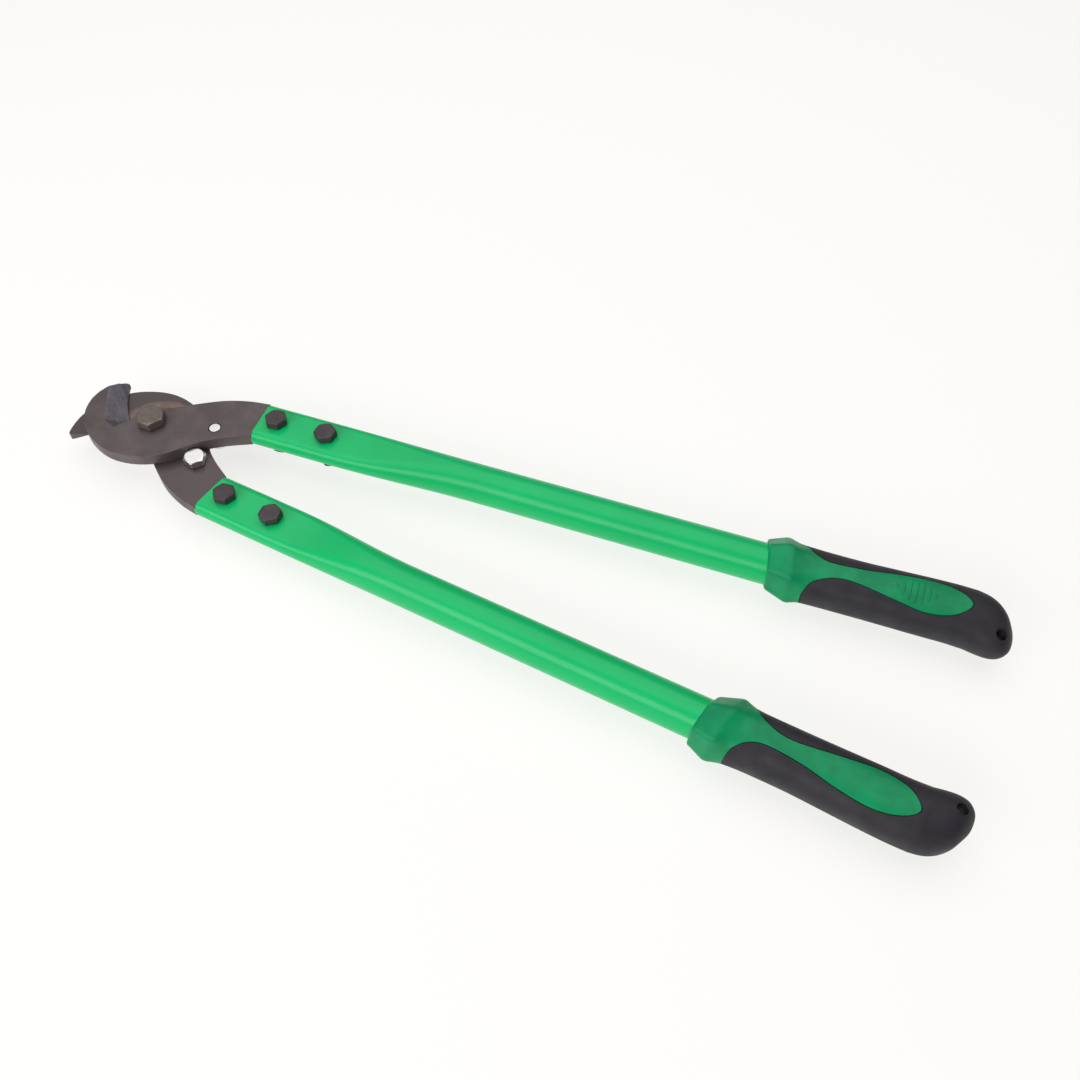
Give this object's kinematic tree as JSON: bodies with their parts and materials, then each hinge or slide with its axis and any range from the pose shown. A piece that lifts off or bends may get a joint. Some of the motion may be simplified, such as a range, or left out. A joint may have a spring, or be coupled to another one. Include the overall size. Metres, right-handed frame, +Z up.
{
  "type": "cable cutter",
  "caption": "Two-handed cable cutter: hooked bypass jaws on a pivot bolt, long painted tube handles and soft grips with hang holes.",
  "frame": {"origin": "on the pivot's axis, at the surface that the cutter lies on, which the end of the pivot bolt touches", "axes": "+Z up along the pivot, +X towards the grips between the closed handles, +Y towards the upper arm's handle"},
  "size_m": [0.6018, 0.1688, 0.0404],
  "materials": {
    "jaw_steel": "black-oxide forged steel, satin",
    "pivot_steel": "black-oxide steel, rubbed",
    "bolt_steel": "black-oxide steel, satin",
    "zinc": "bright zinc plate",
    "tube_paint": "gloss green paint",
    "grip_green": "moulded green polypropylene, satin",
    "grip_rubber": "moulded soft rubber, matt"
  },
  "bodies": {
    "lower_arm": {"jaw_lower": "jaw_steel", "pivot_bolt": "pivot_steel", "pivot_washer": "bolt_steel", "pivot_nut": "bolt_steel", "stop_bolt_lower": "zinc", "handle_tube_lower": "tube_paint", "handle_bolt_lower_front": "bolt_steel", "handle_bolt_lower_rear": "bolt_steel", "handle_nut_lower_front": "bolt_steel", "handle_nut_lower_rear": "bolt_steel", "grip_core_lower": "grip_green", "grip_skin_lower": "grip_rubber"},
    "upper_arm": {"jaw_upper": "jaw_steel", "stop_bolt_upper": "zinc", "handle_tube_upper": "tube_paint", "handle_bolt_upper_front": "bolt_steel", "handle_bolt_upper_rear": "bolt_steel", "handle_nut_upper_front": "bolt_steel", "handle_nut_upper_rear": "bolt_steel", "grip_core_upper": "grip_green", "grip_skin_upper": "grip_rubber"}
  },
  "joints": [
    {"name": "jaw_pivot", "type": "hinge", "parent": "lower_arm", "child": "upper_arm", "pos_m": [0, 0, 0.02075], "axis": [0, 0, 1], "range_deg": [0, 93]}
  ]
}
